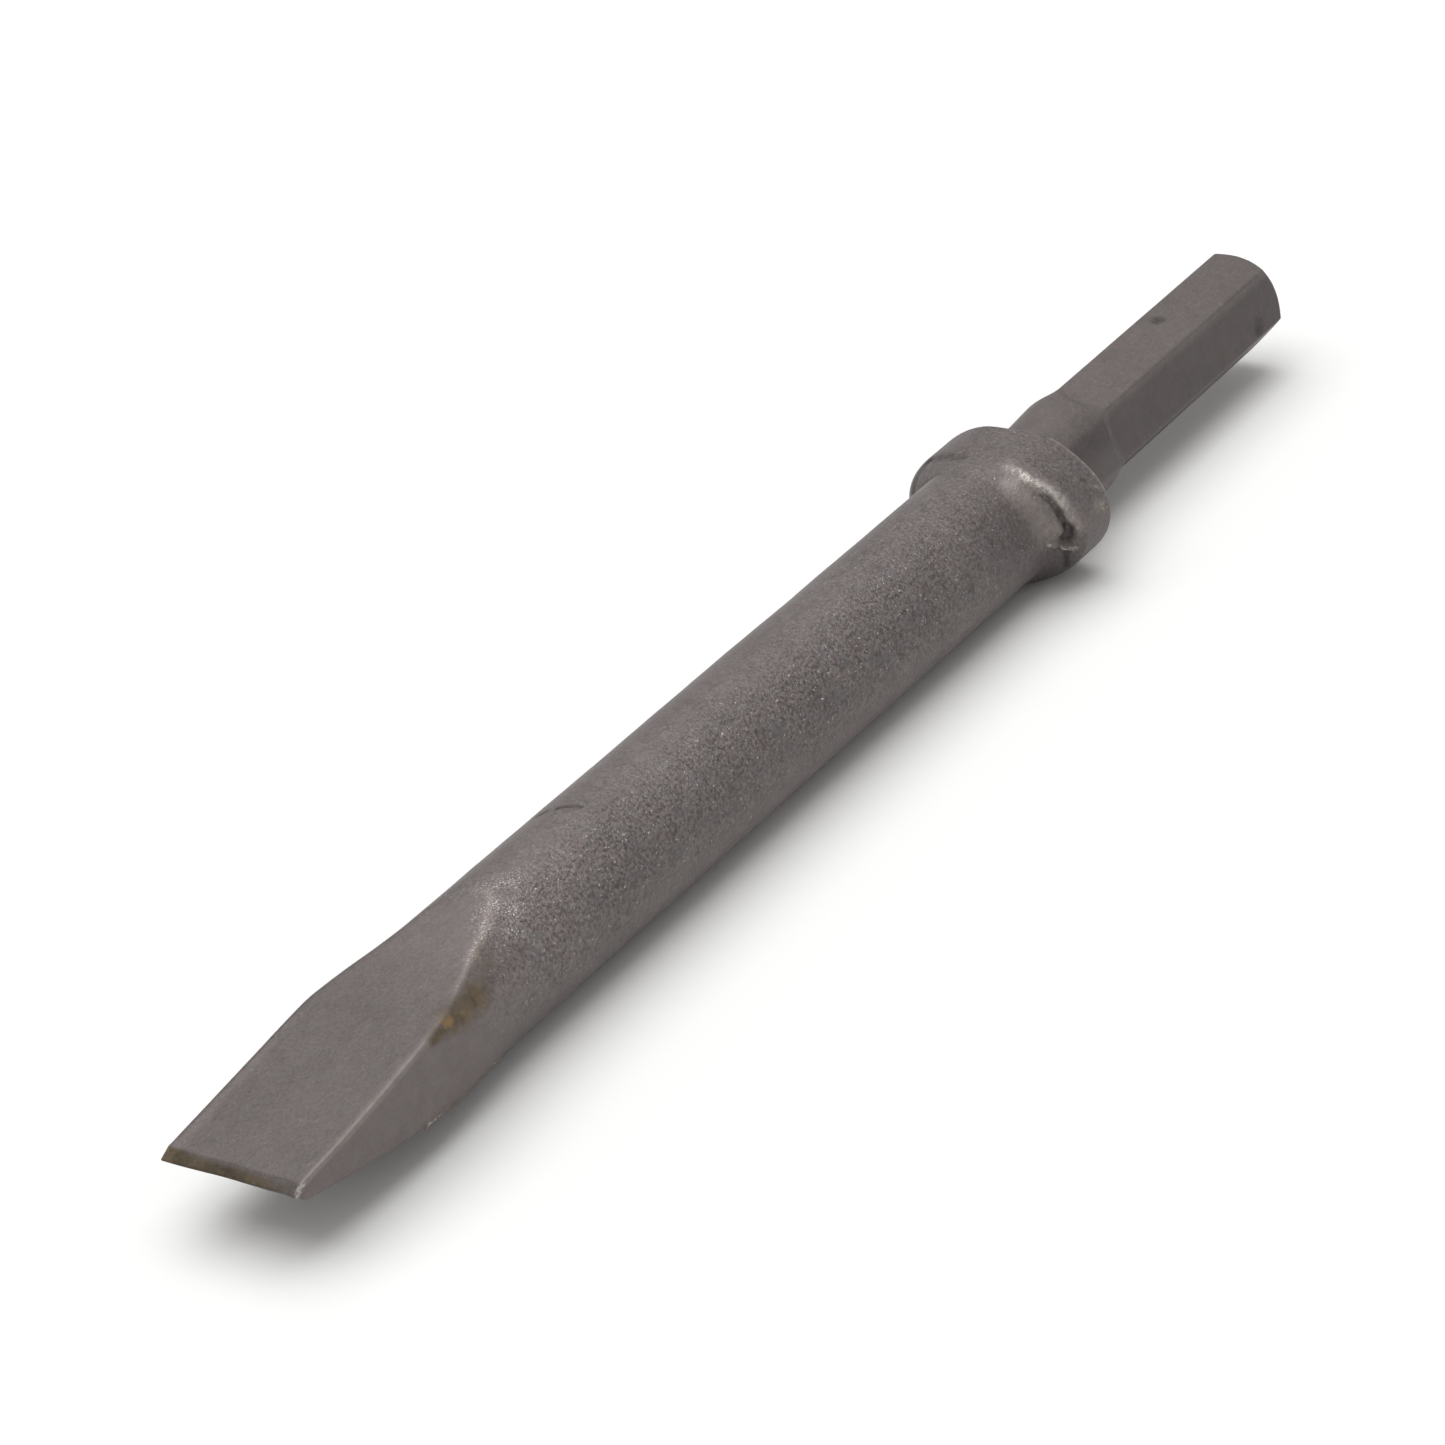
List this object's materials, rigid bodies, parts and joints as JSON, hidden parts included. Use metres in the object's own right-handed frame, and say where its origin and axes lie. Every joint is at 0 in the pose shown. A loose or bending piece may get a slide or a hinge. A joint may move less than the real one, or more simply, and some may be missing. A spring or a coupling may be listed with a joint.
{
  "type": "power-hammer flat chisel",
  "caption": "Forged steel flat chisel for a pneumatic chipping hammer: hexagonal shank, oval retaining collar, round body and wedge blade.",
  "frame": {"origin": "centre of the flat striking face at the end of the shank, on the chisel's axis", "axes": "+X along the axis from the struck end to the cutting edge, +Y along the cutting edge and the collar's long way, +Z square to the blade's wide faces and up when the chisel lies down"},
  "size_m": [0.249, 0.0306, 0.0216],
  "materials": {
    "forged_steel": "hot-forged and shot-blasted, dull grey, with a ground cutting edge"
  },
  "bodies": {
    "root": {"chisel": "forged_steel"}
  },
  "joints": []
}
